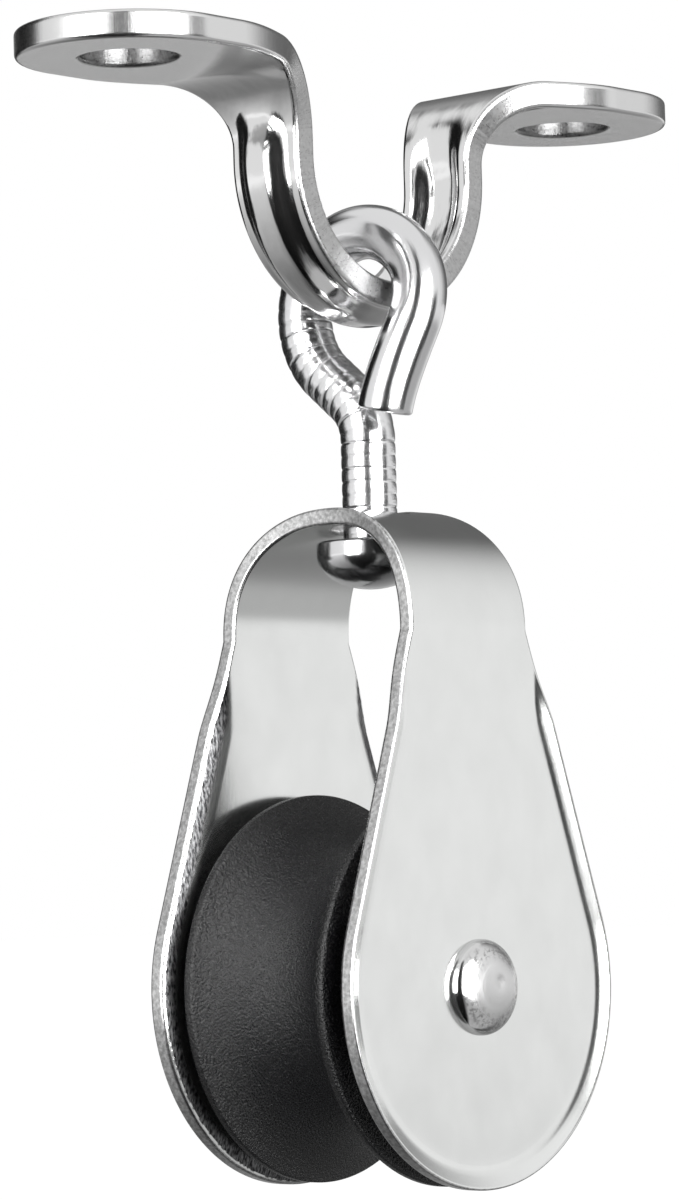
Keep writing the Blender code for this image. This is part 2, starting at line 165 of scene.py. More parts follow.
def mesh_box(mesh):
    """Lowest and highest corner of a mesh."""
    points = np.empty(len(mesh.vertices) * 3, np.float32)
    mesh.vertices.foreach_get("co", points)
    points = points.reshape(-1, 3)
    return points.min(0), points.max(0)


# %% [markdown]
# ## Finishes
# Every finish is a node tree made in code. `add` places one node, sets its properties and joins
# or fills its sockets. Colours are written as sRGB hex and turned to linear light. Most
# patterns start as noise, stretched so that its clouds have a real size in millimetres.

# %% Colour and node helpers
def linear(hex_colour):
    """Linear RGBA from an sRGB hex string: below 0.04045 divide by 12.92, else a 2.4 power."""
    values = np.array([int(hex_colour[i:i + 2], 16) for i in (1, 3, 5)]) / 255
    low, high = values / 12.92, ((values + 0.055) / 1.055) ** 2.4
    return (*np.where(values <= 0.04045, low, high), 1.0)


def add(tree, kind, inputs=None, **settings):
    """Add a node. Settings go to its properties, and each input gets a value or a link.

    A hex string becomes a linear colour, and a node is linked by its first live output.
    """
    made = tree.nodes.new(kind)
    for name, value in settings.items():
        setattr(made, name, value)
    for name, value in (inputs or {}).items():
        if isinstance(value, str):
            value = linear(value)
        if isinstance(value, bpy.types.Node):
            value = next(output for output in value.outputs if output.enabled)
        if isinstance(value, bpy.types.NodeSocket):
            tree.links.new(value, made.inputs[name])
        else:
            made.inputs[name].default_value = value
    return made


def new_finish(name, **constants):
    """A material with its Principled shader; constants are values of the shader's sockets."""
    made = bpy.data.materials.new(name)
    made.use_nodes = True
    tree = made.node_tree
    shader = tree.nodes["Principled BSDF"]
    for socket, value in constants.items():
        shader.inputs[socket.replace("_", " ")].default_value = value
    made.diffuse_color = shader.inputs["Base Color"].default_value
    return made, tree, shader


def join(tree, target, **results):
    """Link each node's first live output to the target's input of that name."""
    for name, node in results.items():
        output = next(output for output in node.outputs if output.enabled)
        tree.links.new(output, target.inputs[name.replace("_", " ")])


def pattern_mm(tree, *scale):
    """The piece's own pattern coordinates in millimetres, stretched by a scale."""
    read = add(tree, "ShaderNodeAttribute", attribute_name="pattern").outputs["Vector"]
    return add(tree, "ShaderNodeMapping", {"Vector": read, "Scale": scale or (1.0, 1.0, 1.0)})


def object_mm(tree, *scale):
    """Object coordinates turned from metres to millimetres, stretched by a scale."""
    place = add(tree, "ShaderNodeTexCoord").outputs["Object"]
    stretch = tuple(value / MM for value in scale)
    return add(tree, "ShaderNodeMapping", {"Vector": place, "Scale": stretch})


# Clouds about one unit wide with three finer layers. A pattern's scale is clouds per millimetre.
NOISE = {"Scale": 1.0, "Detail": 3.0, "Roughness": 0.6}
print("plain noise:", NOISE)


# %% [markdown]
# ### Stainless steel, polished and formed
# The strap and the rod are austenitic stainless steel. Tumbling and polishing leave a mirror
# with a slight swell in it, because the pressed surface was not flat, and a few fine
# scratches. A metal takes its look from what it reflects, so the base colour is one grey and
# the swell bends the reflections. The ears stayed flatter and duller than the bent legs.

# %% Finish of the strap
def polished_strap():
    """Mirror with a swell of some millimetres, and grey torn grain on the sheared edges.

    The pattern holds (distance along the strap, distance across, share of cut edge), and the
    share is 2 in the screw holes. The eye sees smooth bands bent by the swell on the legs, a
    satin grey under the ears, short marks across the edges and dark specks in the holes.
    """
    made, tree, shader = new_finish("polished_stainless_strip", Metallic=1.0)
    swell = add(tree, "ShaderNodeTexNoise", {**NOISE, "Vector": pattern_mm(tree, 0.35, 0.5, 0.4),
                                             "Detail": 2.0, "Roughness": 0.4})
    scratch = add(tree, "ShaderNodeTexNoise", {**NOISE, "Vector": pattern_mm(tree, 0.6, 9.0, 1.0)})
    tear = add(tree, "ShaderNodeTexNoise", {**NOISE, "Vector": pattern_mm(tree, 6.0, 0.5, 0.5)})
    speck = add(tree, "ShaderNodeTexNoise", {**NOISE, "Vector": object_mm(tree, 3.2, 3.2, 3.2),
                                             "Roughness": 0.65})
    grain = add(tree, "ShaderNodeMix", {"Factor": 0.6, "A": tear, "B": speck})
    place = add(tree, "ShaderNodeSeparateXYZ", {"Vector": pattern_mm(tree)}).outputs
    ear_from, leg_to, ear_share = 31.0, 25.0, 0.12
    along = add(tree, "ShaderNodeMath", {0: place["X"]}, operation="ABSOLUTE")
    bent = add(tree, "ShaderNodeMapRange", {"Value": along, "From Min": ear_from,
                                            "From Max": leg_to, "To Min": ear_share})
    edge = add(tree, "ShaderNodeMath", {0: place["Z"], 1: 1.0}, operation="MINIMUM")
    bore = add(tree, "ShaderNodeMath", {0: place["Z"], 1: 1.0}, operation="SUBTRACT")
    sheared = add(tree, "ShaderNodeMath", {0: bent, 1: edge}, operation="MULTIPLY")
    cut = add(tree, "ShaderNodeMath", {0: sheared, 1: bore}, operation="MAXIMUM")
    fine = add(tree, "ShaderNodeBump", {"Height": scratch, "Strength": 0.6,
                                        "Distance": 0.01 * MM})
    waves = add(tree, "ShaderNodeMath", {0: swell, 1: bent}, operation="MULTIPLY")
    broad = add(tree, "ShaderNodeBump", {"Height": waves, "Strength": 1.0,
                                         "Distance": 0.08 * MM, "Normal": fine})
    torn_height = add(tree, "ShaderNodeMath", {0: grain, 1: cut}, operation="MULTIPLY")
    torn = add(tree, "ShaderNodeBump", {"Height": torn_height, "Strength": 1.0,
                                        "Distance": 0.03 * MM, "Normal": broad})
    faint = add(tree, "ShaderNodeMath", {0: edge, 1: 0.3}, operation="MULTIPLY")
    dull = add(tree, "ShaderNodeMath", {0: cut, 1: faint}, operation="MAXIMUM")
    smooth = add(tree, "ShaderNodeMapRange", {"Value": bent, "From Min": ear_share,
                                              "To Min": 0.17, "To Max": 0.12})
    coarse = add(tree, "ShaderNodeMapRange", {"Value": grain, "From Min": 0.3, "From Max": 0.7,
                                              "To Min": 0.22, "To Max": 0.42})
    rough = add(tree, "ShaderNodeMix", {"Factor": dull, "A": smooth, "B": coarse})
    torn_grey = add(tree, "ShaderNodeMix", {"Factor": grain, "A": "#7c7c7c", "B": "#c8c8c8"},
                    data_type="RGBA")
    outside = add(tree, "ShaderNodeMix", {"Factor": cut, "A": "#dadada", "B": torn_grey},
                  data_type="RGBA")
    hole_grey = add(tree, "ShaderNodeMix", {"Factor": speck, "A": "#3c3c3c", "B": "#a0a0a0"},
                    data_type="RGBA")
    tint = add(tree, "ShaderNodeMix", {"Factor": bore, "A": outside, "B": hole_grey},
               data_type="RGBA")
    join(tree, shader, Roughness=rough, Base_Color=tint, Normal=torn)
    return made


strap_finish = polished_strap()
print(strap_finish.name)


# %% Finish of the rod
def polished_rod():
    """Mirror with a faint draw along the rod, nicked and duller where jaws gripped it.

    The pattern holds (along, round, gripped). The eye sees long bright and dark lines on the
    ring, and broken ones on the shank.
    """
    made, tree, shader = new_finish("polished_stainless_rod", Metallic=1.0,
                                    Base_Color=linear("#d8d8d9"))
    draw = add(tree, "ShaderNodeTexNoise", {**NOISE, "Vector": pattern_mm(tree, 0.4, 3.0, 0.0),
                                            "Roughness": 0.5})
    nick = add(tree, "ShaderNodeTexNoise", {**NOISE, "Vector": pattern_mm(tree, 3.0, 1.2, 0.0),
                                            "Roughness": 0.55})
    gripped = add(tree, "ShaderNodeSeparateXYZ", {"Vector": pattern_mm(tree)}).outputs["Z"]
    fine = add(tree, "ShaderNodeBump", {"Height": draw, "Strength": 0.6, "Distance": 0.02 * MM})
    dents = add(tree, "ShaderNodeMath", {0: nick, 1: gripped}, operation="MULTIPLY")
    dented = add(tree, "ShaderNodeBump", {"Height": dents, "Strength": 1.0,
                                          "Distance": 0.035 * MM, "Normal": fine})
    rough = add(tree, "ShaderNodeMapRange", {"Value": gripped, "To Min": 0.16, "To Max": 0.24})
    join(tree, shader, Roughness=rough, Normal=dented)
    return made


rod_finish = polished_rod()
print(rod_finish.name)


# %% [markdown]
# ### Stainless sheet, satin on the faces
# The shell is cold-rolled sheet. Rolling leaves short streaks along the strip, about 0.1 mm
# wide, which blur what the sheet reflects. They are drawn a little coarser than life so that
# they show. The sheared edge is greyer and rougher. Inside the lip the metal is made duller,
# and a dark streaked grey is painted there as a reflection of the black wheel beside it.

# %% Finish of the shell
def satin_sheet():
    """Blurred mirror with rolled streaks; the pattern holds (along, across, mark).

    The mark is 1 or 2 on cut edges and goes down to -1 inside the drawn lip, where a dark
    streaked grey is painted as the reflection of the black wheel. The eye sees an even pale
    grey on the cheeks, a mottled edge and that painted dark line beside it.
    """
    made, tree, shader = new_finish("satin_rolled_stainless_sheet", Metallic=1.0)
    streak = add(tree, "ShaderNodeTexNoise", {**NOISE, "Vector": pattern_mm(tree, 0.45, 5.0, 0.0),
                                              "Detail": 4.0})
    cloud = add(tree, "ShaderNodeTexNoise", {**NOISE, "Vector": pattern_mm(tree, 0.16, 0.2, 0.2),
                                             "Roughness": 0.5})
    pits = add(tree, "ShaderNodeTexNoise", {**NOISE, "Vector": object_mm(tree, 2.6, 2.6, 2.6)})
    lip_streak = add(tree, "ShaderNodeTexNoise", {**NOISE, "Vector": pattern_mm(tree, 1.5, 5.0, 0.0)})
    mark = add(tree, "ShaderNodeSeparateXYZ", {"Vector": pattern_mm(tree)}).outputs["Z"]
    worked = add(tree, "ShaderNodeMath", {0: mark}, operation="ABSOLUTE")
    sheared = add(tree, "ShaderNodeMath", {0: mark, 1: 0.9}, operation="MULTIPLY", use_clamp=True)
    # Share inside the lip, where a dark grey is painted as the black wheel's reflection.
    drawn = add(tree, "ShaderNodeMath", {0: mark, 1: -1.0}, operation="MULTIPLY", use_clamp=True)
    lines = add(tree, "ShaderNodeBump", {"Height": streak, "Strength": 0.5,
                                         "Distance": 0.006 * MM})
    torn_height = add(tree, "ShaderNodeMath", {0: pits, 1: worked}, operation="MULTIPLY")
    torn = add(tree, "ShaderNodeBump", {"Height": torn_height, "Strength": 1.0,
                                        "Distance": 0.014 * MM, "Normal": lines})
    smooth = add(tree, "ShaderNodeMapRange", {"Value": cloud, "From Min": 0.3, "From Max": 0.7,
                                              "To Min": 0.15, "To Max": 0.2})
    rough = add(tree, "ShaderNodeMix", {"Factor": worked, "A": smooth, "B": 0.28})
    face = add(tree, "ShaderNodeMix", {"Factor": cloud, "A": "#e6e7e6", "B": "#dcdddc"},
               data_type="RGBA")
    pitted = add(tree, "ShaderNodeMapRange", {"Value": pits, "From Min": 0.38, "From Max": 0.66})
    edge_grey = add(tree, "ShaderNodeMix", {"Factor": pitted, "A": "#989898", "B": "#d2d2d2"},
                    data_type="RGBA")
    # Painted reflection: dark streaked grey inside the lip stands for the black wheel reflected
    # there.
    lip_streaked = add(tree, "ShaderNodeMapRange", {"Value": lip_streak, "From Min": 0.4, "From Max": 0.72})
    lip_painted_reflection = add(tree, "ShaderNodeMix", {"Factor": lip_streaked, "A": "#1e1e1f", "B": "#7c7c7d"},
                   data_type="RGBA")
    plain = add(tree, "ShaderNodeMix", {"Factor": sheared, "A": face, "B": edge_grey},
                data_type="RGBA")
    tint = add(tree, "ShaderNodeMix", {"Factor": drawn, "A": plain, "B": lip_painted_reflection},
               data_type="RGBA")
    join(tree, shader, Roughness=rough, Base_Color=tint, Normal=torn)
    return made


sheet_finish = satin_sheet()
print(sheet_finish.name)


# %% [markdown]
# ### Rivet, sleeve and wheel
# The rivet's head was spun over by a tool, which leaves a dull middle with faint rings. The
# sleeve is plain drawn tube. The wheel is glass-filled nylon, moulded black: its skin is a fine
# leather-like texture with grains of some tenths of a millimetre, greyer where a rope runs.

# %% Finishes of the rivet, the sleeve and the wheel
def spun_rivet():
    """Bright steel, dulled by the tool's rings in the middle, with dark flecks round them.

    The pattern holds (distance from the centre, angle, 0). The eye sees a bright rim, then
    small dark flecks, then an even grey.
    """
    made, tree, shader = new_finish("spun_stainless_rivet", Metallic=1.0,
                                    Base_Color=linear("#d0d0d0"))
    rings = add(tree, "ShaderNodeTexNoise", {**NOISE, "Vector": pattern_mm(tree, 6.0, 0.3, 0.0)})
    flecks = add(tree, "ShaderNodeTexNoise", {**NOISE, "Vector": object_mm(tree, 2.4, 2.4, 2.4),
                                              "Roughness": 0.65})
    reach = add(tree, "ShaderNodeSeparateXYZ", {"Vector": pattern_mm(tree)}).outputs["X"]
    middle = add(tree, "ShaderNodeMapRange", {"Value": reach, "From Min": 3.7, "From Max": 2.2})
    collar = add(tree, "ShaderNodeMapRange", {"Value": reach, "From Min": 4.1, "From Max": 3.3})
    band = add(tree, "ShaderNodeMath", {0: collar, 1: middle}, operation="SUBTRACT",
               use_clamp=True)
    dark = add(tree, "ShaderNodeMapRange", {"Value": flecks, "From Min": 0.48, "From Max": 0.66})
    flecked = add(tree, "ShaderNodeMath", {0: dark, 1: band}, operation="MULTIPLY")
    tint = add(tree, "ShaderNodeMix", {"Factor": flecked, "A": "#d0d0d0", "B": "#5a5a5a"},
               data_type="RGBA")
    ringed = add(tree, "ShaderNodeMapRange", {"Value": rings, "To Min": 0.28, "To Max": 0.46})
    rough = add(tree, "ShaderNodeMix", {"Factor": middle, "A": 0.12, "B": ringed})
    ridges = add(tree, "ShaderNodeBump", {"Height": rings, "Strength": 0.7,
                                          "Distance": 0.02 * MM})
    join(tree, shader, Roughness=rough, Base_Color=tint, Normal=ridges)
    return made


def drawn_tube():
    """Plain tube, drawn along Y: fine streaks in that direction, some dull and some bright."""
    made, tree, shader = new_finish("plain_drawn_stainless_tube", Metallic=1.0,
                                    Base_Color=linear("#c6c6c5"))
    streak = add(tree, "ShaderNodeTexNoise", {**NOISE, "Vector": object_mm(tree, 4.0, 0.3, 4.0),
                                              "Roughness": 0.5})
    rough = add(tree, "ShaderNodeMapRange", {"Value": streak, "To Min": 0.2, "To Max": 0.4})
    join(tree, shader, Roughness=rough)
    return made


def moulded_nylon():
    """Black nylon with a leathery grain; the pattern holds (round, across, share of rope rub).

    The eye sees a soft sheen broken into fine points, and a slightly greyer groove.
    """
    made, tree, shader = new_finish("black_moulded_nylon_grained", Specular_IOR_Level=0.38,
                                    IOR=1.53)
    grain = add(tree, "ShaderNodeTexNoise", {**NOISE, "Vector": object_mm(tree, 5.0, 5.0, 5.0)})
    cells = add(tree, "ShaderNodeTexVoronoi", {"Vector": object_mm(tree, 5.5, 5.5, 5.5),
                                               "Scale": 1.0}, feature="SMOOTH_F1")
    rub = add(tree, "ShaderNodeSeparateXYZ", {"Vector": pattern_mm(tree)}).outputs["Z"]
    leather = add(tree, "ShaderNodeBump", {"Height": cells, "Strength": 0.8,
                                           "Distance": 0.08 * MM})
    skin = add(tree, "ShaderNodeBump", {"Height": grain, "Strength": 1.0,
                                        "Distance": 0.12 * MM, "Normal": leather})
    rough = add(tree, "ShaderNodeMapRange", {"Value": grain, "From Min": 0.3, "From Max": 0.7,
                                             "To Min": 0.22, "To Max": 0.34})
    tint = add(tree, "ShaderNodeMix", {"Factor": rub, "A": "#040405", "B": "#0a0a0c"},
               data_type="RGBA")
    join(tree, shader, Roughness=rough, Base_Color=tint, Normal=skin)
    return made


rivet_finish, tube_finish, nylon_finish = spun_rivet(), drawn_tube(), moulded_nylon()
print(rivet_finish.name, tube_finish.name, nylon_finish.name)


# %% [markdown]
# ## Plates: a flat pattern plus a bend
# The strap and the shell both start as flat blanks with holes and are then bent. They are made
# the same way here. The blank is worked out in flat coordinates (s, y): s runs along the strip
# and y across it. A bend function then carries every point (s, y, n) into space, where n is
# the height above the middle of the sheet. The alternative, a solid with modifiers, gives
# uneven facets round the holes, and polished steel shows every one of them.

# %% The outline of a blank, its edge and its patches
def closed_outline(side):
    """The whole outline from its upper half: the half, then the same points mirrored in y."""
    return np.concatenate([side, side[-2:0:-1] * (1, -1)])


def inward_normals(loop):
    """Unit normals into the blank: the neighbours' chord turned by a right angle."""
    chord = np.roll(loop, -1, 0) - np.roll(loop, 1, 0)
    normal = np.stack([chord[:, 1], -chord[:, 0]], -1)
    return normal / np.linalg.norm(normal, axis=1, keepdims=True)


def edge_profile(half, edge):
    """(inset, height) pairs over the edge: quarter circle, straight wall, quarter circle."""
    turn = np.linspace(0, math.pi / 2, 6)
    inset, height = edge * (1 - np.sin(turn)), half - edge * (1 - np.cos(turn))
    wall = half - edge - 0.06 * MM
    inset = np.concatenate([inset, [0.0, 0.0], inset[::-1]])
    height = np.concatenate([height, [wall, -wall], -height[::-1]])
    return inset, height


def ring_patch(boundary, centre, radius, rings=26):
    """Grid between a hole and a closed boundary: straight lines from one to the other.

    The lines leave the hole at the angle at which the boundary point lies, and the rings
    crowd together at both ends, where the surface turns.
    """
    offset = boundary - centre
    direction = offset / np.linalg.norm(offset, axis=1, keepdims=True)
    start = centre + direction * radius
    share = 0.5 - 0.5 * np.cos(math.pi * np.linspace(0, 1, rings))
    return start[:, None] + (boundary - start)[:, None] * share[None, :, None]


def across(point, columns):
    """Points on the straight line from (s, y) to (s, -y), crowded at both ends."""
    share = np.cos(math.pi * np.linspace(0, 1, columns))
    return np.stack([np.full(columns, point[0]), point[1] * share], -1)


def patch_loop(side, first, last, columns):
    """Closed boundary of the stretch of blank between two points of its upper half.

    The stretch's ends are straight cuts across, unless it ends at the tip of the blank.
    """
    upper = side[first:last + 1]
    lower = upper[::-1] * (1, -1)
    parts = [upper]
    if last < len(side) - 1:
        parts.append(across(side[last], columns)[1:-1])
    parts.append(lower)
    if first > 0:
        parts.append(across(side[first], columns)[::-1][1:-1])
    parts.append(upper[:1])
    return np.concatenate(parts)


def plate(name, side, holes, cuts, half, edge, bend, inner_mark=None, columns=30):
    """A bent plate with rounded edges, from the upper half of its outline.

    holes is a list of (s, radius, first, last): a hole and the stretch of outline round it.
    cuts is a list of (first, last) for the plain stretches between them. bend carries
    (s, y, n) to a point in space. The third pattern value is 0 on the faces, 1 on the cut
    edge and 2 in the holes, and on the lower face it is what inner_mark gives.
    """
    loop = closed_outline(side)
    normals = inward_normals(loop)
    inset = (loop + normals * edge)[:len(side)]
    flats = [ring_patch(patch_loop(inset, first, last, columns), np.array([s, 0.0]),
                        radius + edge) for s, radius, first, last in holes]
    for first, last in cuts:
        flats.append(np.stack([across(point, columns) for point in inset[first:last + 1]]))
    grids, patterns = [], []

    def carry(flat, height, cut_edge):
        height = np.broadcast_to(height, flat.shape[:2])
        grids.append(bend(flat[..., 0], flat[..., 1], height))
        mark = np.broadcast_to(cut_edge, flat.shape[:2])
        patterns.append(np.stack([flat[..., 0] / MM, flat[..., 1] / MM, mark], -1))

    for flat in flats:
        carry(flat, half, 0.0)
        carry(flat, -half, inner_mark(flat[..., 0], flat[..., 1]) if inner_mark else 0.0)
    amount, height = edge_profile(half, edge)
    wall = (amount < edge * 0.5) * 1.0
    ring = np.append(np.arange(len(loop)), 0)
    rim = loop[ring][:, None] + normals[ring][:, None] * amount[None, :, None]
    carry(rim, height[None, :], wall[None, :])
    for (s, radius, first, last), flat in zip(holes, flats):
        outward = flat[:, 0] - (s, 0.0)
        outward /= np.linalg.norm(outward, axis=1, keepdims=True)
        bore = (s, 0.0) + outward[:, None] * (radius + amount)[None, :, None]
        carry(bore, height[None, :], 2 * wall[None, :])
    return sew(name, grids, patterns)


print("a plate is an outline, its holes and a bend")


# %% [markdown]
# ## Deck bracket
# One strap of 2.5 mm steel: two flat round ears with a screw hole, two bends, and a U through
# the swivel eye. A rib is pressed along the U and both bends, so that the thin strap does not
# open under load. It could be a swept profile, but the ears are wider than the legs, so the
# blank changes width while it bends, which the flat pattern handles with one width function.

# %% The strap's centre line, width and rib
STRAP_HALF = STRAP["thickness"] / 2
U_RADIUS = STRAP["u_inside"] / 2 + STRAP_HALF
BEND_RADIUS = STRAP["ear_bend"] - STRAP_HALF
BEND_X = STRAP["u_inside"] / 2 + STRAP["ear_bend"]
S_LEG = U_RADIUS * math.pi / 2
S_BEND = S_LEG + STRAP["leg_straight"]
S_EAR = S_BEND + BEND_RADIUS * math.pi / 2
S_HOLE = S_EAR + STRAP["hole_x"] - BEND_X


def strap_line(s):
    """Centre line and normal of the strap at distance s from the U's lowest point.

    Quarter circle of the U, straight leg, quarter circle of the ear's bend, straight ear.
    The four stretches are worked out everywhere and the right one is selected.
    """
    far, side = np.abs(s), np.where(s < 0, -1.0, 1.0)
    u_turn = np.minimum(far, S_LEG) / U_RADIUS
    bend_turn = np.clip(far - S_BEND, 0, S_EAR - S_BEND) / BEND_RADIUS
    u_x = U_RADIUS * np.sin(u_turn)
    u_z = U_BOTTOM + STRAP["u_inside"] / 2 - U_RADIUS * np.cos(u_turn)
    bend_x = BEND_X - BEND_RADIUS * np.cos(bend_turn)
    bend_z = -STRAP["ear_bend"] + BEND_RADIUS * np.sin(bend_turn)
    in_u, in_leg = far <= S_LEG, far <= S_BEND
    x = np.where(in_u, u_x, np.where(in_leg, U_RADIUS, bend_x + np.maximum(far - S_EAR, 0)))
    z = np.where(in_u, u_z, np.where(in_leg, u_z + far - S_LEG, bend_z))
    normal_x = np.where(in_u, -np.sin(u_turn), -np.cos(bend_turn))
    normal_z = np.where(in_u, np.cos(u_turn), np.sin(bend_turn))
    return x * side, z, normal_x * side, normal_z


def rib_sink(s, y):
    """How far the rib is pressed towards the strap's outside.

    It has a flat crest, two sloping flanks and flat margins, and fades out in the ears' bends.
    """
    end = S_EAR - BEND_RADIUS * math.pi / 4
    depth = RIB["depth"] * ease((end - np.abs(s)) / RIB["run"])
    return depth * ease((STRAP["leg_half"] - RIB["margin"] - np.abs(y)) / RIB["flank"])


def bend_strap(s, y, n):
    """A point of the blank in space: centre line, plus y along Y, plus n along the normal."""
    x, z, normal_x, normal_z = strap_line(s)
    height = n - rib_sink(s, y)
    return np.stack([x + normal_x * height, y, z + normal_z * height], -1)


def strap_width(s):
    """Half-width: narrow on the legs, an S-curve out to the full ear."""
    full = S_EAR + STRAP["hole_x"] - STRAP["full_width"] - BEND_X
    share = ease((np.abs(s) - S_BEND) / (full - S_BEND))
    return STRAP["leg_half"] + (STRAP["ear_radius"] - STRAP["leg_half"]) * share


# %% The strap
def deck_bracket():
    """Blank: round end, widening side, narrow middle, and the same again mirrored."""
    turn = np.linspace(math.pi, math.pi / 2, 40)[:-1]
    radius = STRAP["ear_radius"]
    left = np.stack([-S_HOLE + radius * np.cos(turn), radius * np.sin(turn)], -1)
    s = np.linspace(-S_HOLE, S_HOLE, 321)
    side = np.concatenate([left, np.stack([s, strap_width(s)], -1), left[::-1] * (-1, 1)])
    near = len(left) + int(np.argmin(np.abs(s + S_HOLE - STRAP["ear_patch"])))
    far = len(side) - 1 - near
    end = len(side) - 1
    holes = [(-S_HOLE, STRAP["hole_radius"], 0, near), (S_HOLE, STRAP["hole_radius"], far, end)]
    return plate("deck_bracket_polished", side, holes, [(near, far)], STRAP_HALF,
                 STRAP["edge"], bend_strap)


bracket = put("deck_bracket_polished", deck_bracket(), strap_finish, "deck_bracket")


# %% [markdown]
# ## Block shell
# One strip of 1.5 mm sheet, folded over the crown. Each cheek is a pear shape: a straight side
# that runs from the shoulder to the round end as a tangent. Round each cheek a narrow lip is
# pressed outwards, which stiffens the thin sheet and keeps the rope off the edge.

# %% The shell's outline, fold and lip
SHEET_HALF = SHEET["thickness"] / 2
CROWN_MID = SHEET["inside"] / 2 + SHEET_HALF


def crown_curve(turn):
    """Point (y, z) and normal of the crown at a turn from its top.

    The curve is a circle made a little squarer: the sine and the cosine are raised to 2 / p.
    The normal of such a curve has them raised to 2 - 2 / p.
    """
    power = 2 / SHEET["power"]
    sine, cosine = np.abs(np.sin(turn)), np.abs(np.cos(turn))
    normal = np.stack([sine ** (2 - power), cosine ** (2 - power)])
    return CROWN_MID * sine ** power, CROWN_MID * cosine ** power, normal / np.hypot(*normal)


CROWN_TURNS = np.linspace(0, math.pi / 2, 4001)
CROWN_LENGTHS = np.append(0.0, np.cumsum(np.hypot(*np.diff(crown_curve(CROWN_TURNS)[:2]))))
S_SHOULDER = CROWN_LENGTHS[-1]


def crown_turn(s):
    """Turn from the crown's top at the distance |s| along the sheet."""
    return np.interp(np.abs(s), CROWN_LENGTHS, CROWN_TURNS)


def cheek_side():
    """Upper half of one cheek's outline as (drop below the shoulder, half-width), and its end.

    The tangent from the shoulder touches the round end where the angle at the axle is the
    lean: asin(radius / reach) less the angle of the shoulder itself.
    """
    shoulder, drop, radius = SHEET["shoulder"] / 2, SHEET["cheek_drop"], SHEET["cheek_radius"]
    lean = math.asin(radius / math.hypot(shoulder, drop)) - math.atan2(shoulder, drop)
    touch_drop, touch_x = drop - radius * math.sin(lean), radius * math.cos(lean)
    share = np.linspace(0, 1, 90)[:-1]
    straight = np.stack([touch_drop * share, shoulder + (touch_x - shoulder) * share], -1)
    turn = np.linspace(lean, -math.pi / 2, 130)
    end = np.stack([drop - radius * np.sin(turn), radius * np.cos(turn)], -1)
    return np.concatenate([straight, end])


def edge_distance(s, y, loop):
    """Distance from each (s, y) to the nearest segment of the outline.

    For each segment the foot of the perpendicular is held between the segment's ends.
    """
    point = np.stack([s.ravel(), y.ravel()], -1)[:, None]
    start, step = loop[None], (np.roll(loop, -1, 0) - loop)[None]
    share = ((point - start) * step).sum(-1) / (step * step).sum(-1)
    foot = start + step * np.clip(share, 0, 1)[..., None]
    return np.sqrt(((point - foot) ** 2).sum(-1)).min(1).reshape(s.shape)


def lip_rise(s, y, loop):
    """Height of the lip: 0 up to the crease, then a straight slope out to the edge.

    The crease is a hyperbola, (sqrt(t^2 + c^2) + t) / 2, and the lip grows below the shoulder.
    """
    grown = ease((np.abs(s) - S_SHOULDER) / LIP["run"])
    t = LIP["width"] * grown - edge_distance(s, y, loop)
    slope = LIP["rise"] / LIP["width"]
    return grown * slope * (np.sqrt(t * t + LIP["crease"] ** 2) + t) / 2


def bend_shell(s, x, n):
    """A point of the blank in space: over the crown's curve, then straight down."""
    y, z, normal = crown_curve(crown_turn(s))
    side = np.where(s < 0, -1.0, 1.0)
    drop = np.maximum(np.abs(s) - S_SHOULDER, 0)
    return np.stack([x, side * (y + normal[0] * n), SHOULDER_Z + z + normal[1] * n - drop], -1)


# %% The shell
def block_shell():
    """Blank: cheek, crown strap with the swivel's hole, cheek.

    The crown has plain stretches of 35 outline points beside its hole. Inside each cheek the
    pattern's mark goes down to -1 from the lip's crease outwards, where the finish makes the
    metal duller and paints a dark reflection of the black wheel.
    """
    cheek = cheek_side()
    right = np.stack([S_SHOULDER + cheek[:, 0], cheek[:, 1]], -1)
    left = right[::-1] * (-1, 1)
    s = np.linspace(-S_SHOULDER, S_SHOULDER, 121)[1:-1]
    share = np.sin(crown_turn(s)) ** SHEET["spread"]
    width = (SHEET["crown"] + (SHEET["shoulder"] - SHEET["crown"]) * share) / 2
    side = np.concatenate([left, np.stack([s, width], -1), right])
    loop = closed_outline(side)
    first, last = len(left) - 1, len(left) + len(s)
    plain = 35
    near, far = first + plain, last - plain
    axle, hole = S_SHOULDER + SHEET["cheek_drop"], SHEET["axle_hole"]
    holes = [(-axle, hole, 0, first), (axle, hole, last, len(side) - 1),
             (0.0, SHEET["crown_hole"], near, far)]

    def bend(s, x, n):
        return bend_shell(s, x, n + lip_rise(s, x, loop))

    # The band inside each lip that is made duller and painted dark as a reflection of the black
    # wheel.
    def dull_lip_painted_reflection(s, x):
        reach = (LIP["width"] + LIP["dull"]) * ease((np.abs(s) - S_SHOULDER) / LIP["run"])
        return -ease((reach - edge_distance(s, x, loop)) / LIP["dull_fade"])

    return plate("block_shell_satin", side, holes, [(first, near), (far, last)], SHEET_HALF,
                 SHEET["edge"], bend, dull_lip_painted_reflection)


shell = put("block_shell_satin", block_shell(), sheet_finish, "block_shell")


# %% [markdown]
# ## Swivel eye
# One 5 mm rod, bent cold round a former. The jaws that gripped it left a row of shallow marks
# on the shank and on the leg above it, a little over a millimetre apart. Its lower end was
# upset to a domed head. A circle carried along the centre line gives all of it: the radius
# changes along the line for the cut end, the marks and the head.

